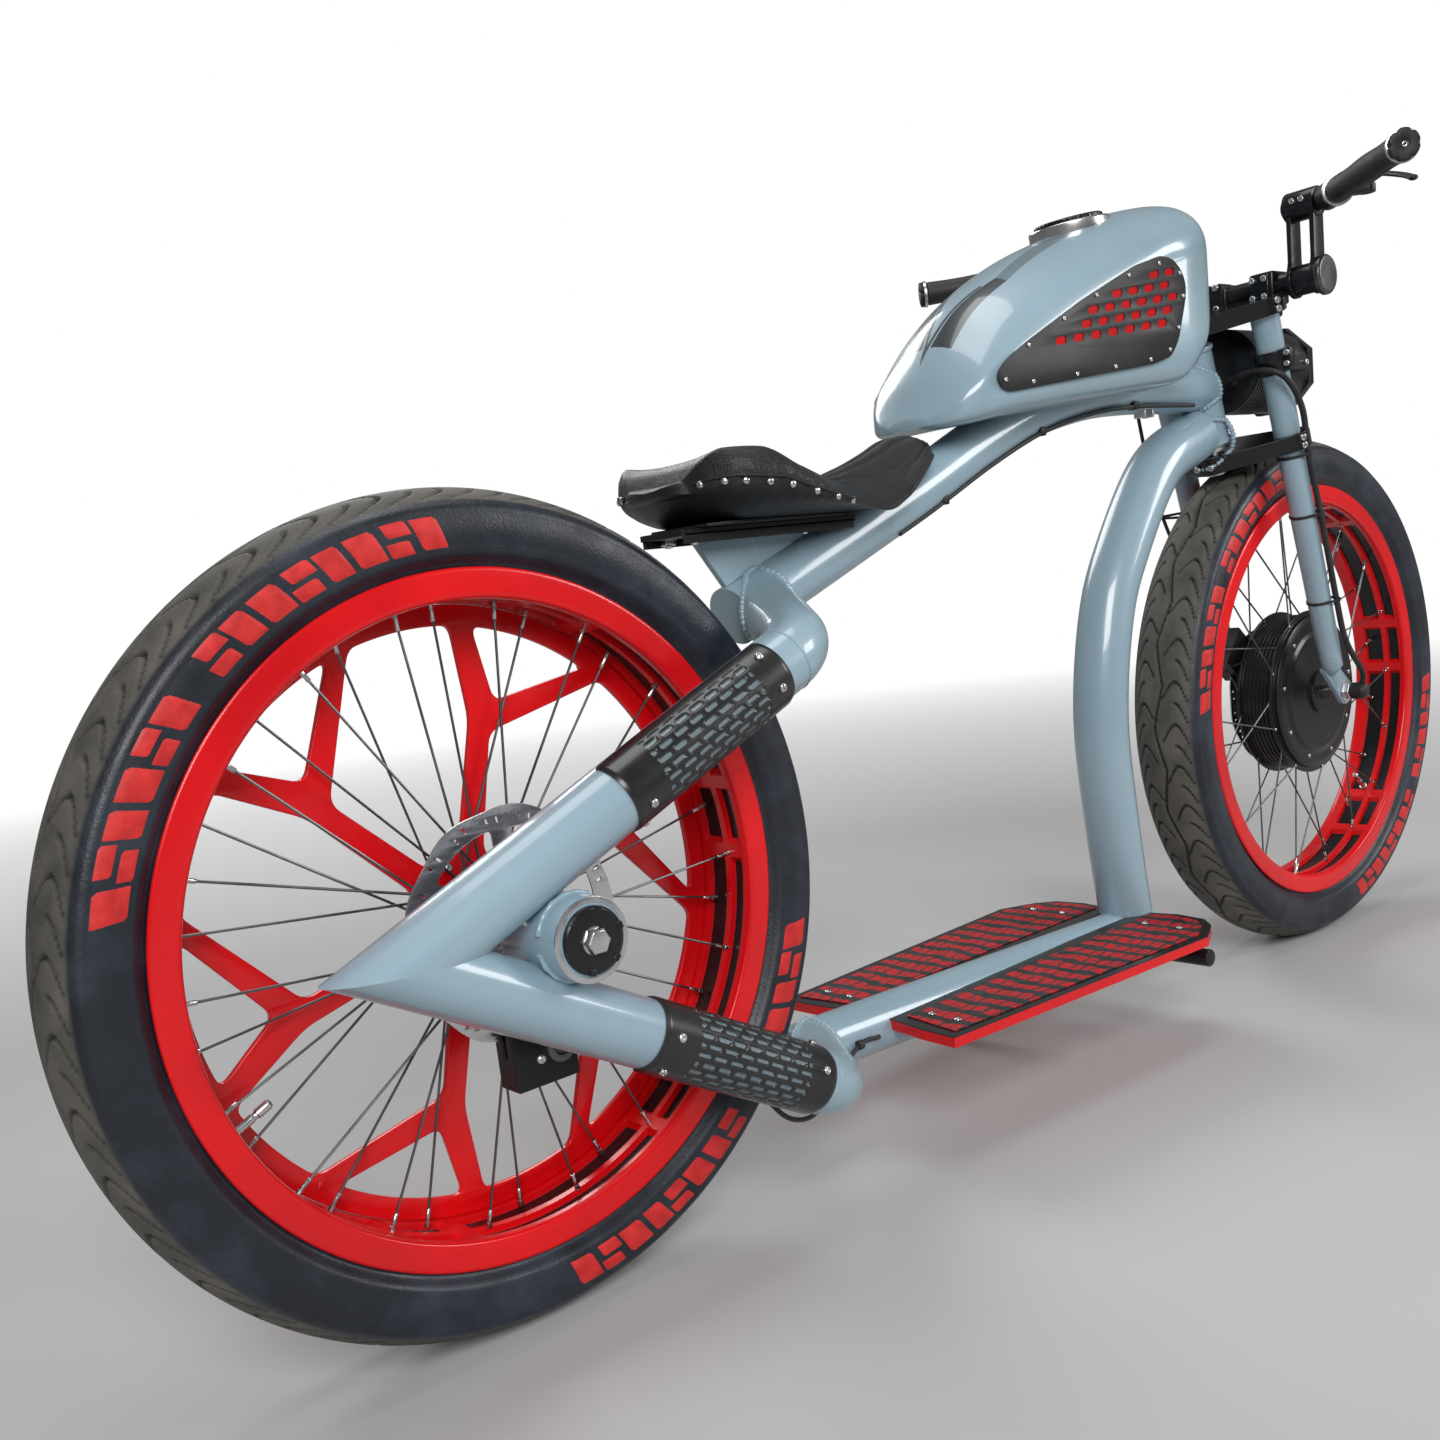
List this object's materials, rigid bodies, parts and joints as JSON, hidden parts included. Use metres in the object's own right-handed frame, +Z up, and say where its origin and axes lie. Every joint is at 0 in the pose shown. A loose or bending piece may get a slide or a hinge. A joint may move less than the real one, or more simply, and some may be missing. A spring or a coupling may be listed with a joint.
{
  "type": "electric bicycle",
  "caption": "stretched cruiser electric bicycle with fat tyres, foot boards, a teardrop tank, swept bars and a front hub motor",
  "frame": {"origin": "the floor, midway between the axles, on the middle plane", "axes": "+X the way it rides, +Y its left, +Z up"},
  "size_m": [2.1284, 0.7108, 1.022],
  "materials": {
    "frame_paint": "glossy blue-grey paint",
    "red_paint": "glossy red paint",
    "black_paint": "glossy black paint",
    "black_alloy": "black anodised alloy",
    "bright_steel": "bright steel",
    "tyre_rubber": "dark rubber with red marks",
    "black_leather": "black sewn leather",
    "grip_sheet": "gritty sheet with a red pattern",
    "cable_rubber": "black cable sheath",
    "battery_case": "black plastic case",
    "clear_lens": "clear lens"
  },
  "bodies": {
    "root": {"head_tube": "frame_paint", "backbone": "frame_paint", "down_tube": "frame_paint", "floor_tube": "frame_paint", "upper_stay": "frame_paint", "lower_stay": "frame_paint", "axle_housing": "frame_paint", "seat_gusset": "frame_paint", "seat_plate": "black_paint", "seat_bolt_rear": "bright_steel", "seat_bolt_front": "bright_steel", "saddle_pan": "black_paint", "saddle_cushion": "black_leather", "tank_shell": "frame_paint", "tank_cap": "black_paint", "tank_plate_right": "black_paint", "tank_plate_left": "black_paint", "battery_box": "battery_case", "upper_stay_cover": "black_paint", "lower_stay_cover": "black_paint", "right_foot_board": "black_alloy", "left_foot_board": "black_alloy", "right_grip_sheet": "grip_sheet", "left_grip_sheet": "grip_sheet", "board_cross_bar": "black_paint", "rear_caliper": "black_alloy", "rear_axle": "bright_steel", "rear_brake_hose": "cable_rubber"},
    "steering": {"steerer": "bright_steel", "lower_fork_clamp": "black_alloy", "upper_fork_clamp": "black_alloy", "right_fork_leg": "frame_paint", "left_fork_leg": "frame_paint", "headlight_body": "black_paint", "headlight_lens": "clear_lens", "crossbar": "black_alloy", "right_riser": "black_alloy", "left_riser": "black_alloy", "right_stub_bar": "bright_steel", "left_stub_bar": "bright_steel", "left_grip": "black_leather", "right_lever_perch": "black_alloy", "left_lever_perch": "black_alloy", "front_axle": "bright_steel", "front_caliper": "black_alloy", "front_brake_hose": "cable_rubber", "motor_lead": "cable_rubber"},
    "throttle": {"throttle_grip": "black_leather"},
    "left_brake_lever": {"left_lever": "bright_steel"},
    "right_brake_lever": {"right_lever": "bright_steel"},
    "front_wheel": {"front_tyre": "tyre_rubber", "front_rim": "red_paint", "front_hub_motor": "black_alloy", "front_rotor": "bright_steel"},
    "rear_wheel": {"rear_tyre": "tyre_rubber", "rear_rim": "red_paint", "rear_side_plate": "red_paint", "rear_hub": "black_alloy", "rear_rotor": "bright_steel"},
    "stand": {"stand_leg": "black_paint"}
  },
  "joints": [
    {"name": "steering_turn", "type": "hinge", "parent": "root", "child": "steering", "pos_m": [0.492, 0, 0.77], "axis": [-0.2857, 0, 0.9583], "range_deg": [-38, 38]},
    {"name": "rear_wheel_spin", "type": "hinge", "parent": "root", "child": "rear_wheel", "pos_m": [-0.701, 0, 0.36324], "axis": [0, 1, 0], "continuous": true},
    {"name": "front_wheel_spin", "type": "hinge", "parent": "steering", "child": "front_wheel", "pos_m": [0.701, 0, 0.36324], "axis": [0, 1, 0], "continuous": true},
    {"name": "left_brake_pull", "type": "hinge", "parent": "steering", "child": "left_brake_lever", "pos_m": [0.53861, 0.20573, 1.00196], "axis": [0, 0, 1], "range_deg": [0, 13], "stiffness_Nm_per_rad": 2},
    {"name": "right_brake_pull", "type": "hinge", "parent": "steering", "child": "right_brake_lever", "pos_m": [0.53861, -0.20573, 1.00196], "axis": [0, 0, -1], "range_deg": [0, 13], "stiffness_Nm_per_rad": 2},
    {"name": "throttle_twist", "type": "hinge", "parent": "steering", "child": "throttle", "pos_m": [0.49376, -0.19039, 1.00115], "axis": [-0.7249, -0.6879, -0.037], "range_deg": [0, 70], "stiffness_Nm_per_rad": 0.5},
    {"name": "stand_fold", "type": "hinge", "parent": "root", "child": "stand", "pos_m": [0.06, 0.06, 0.102], "axis": [0.0509, 0.5088, 0.8594], "range_deg": [0, 76]}
  ]
}
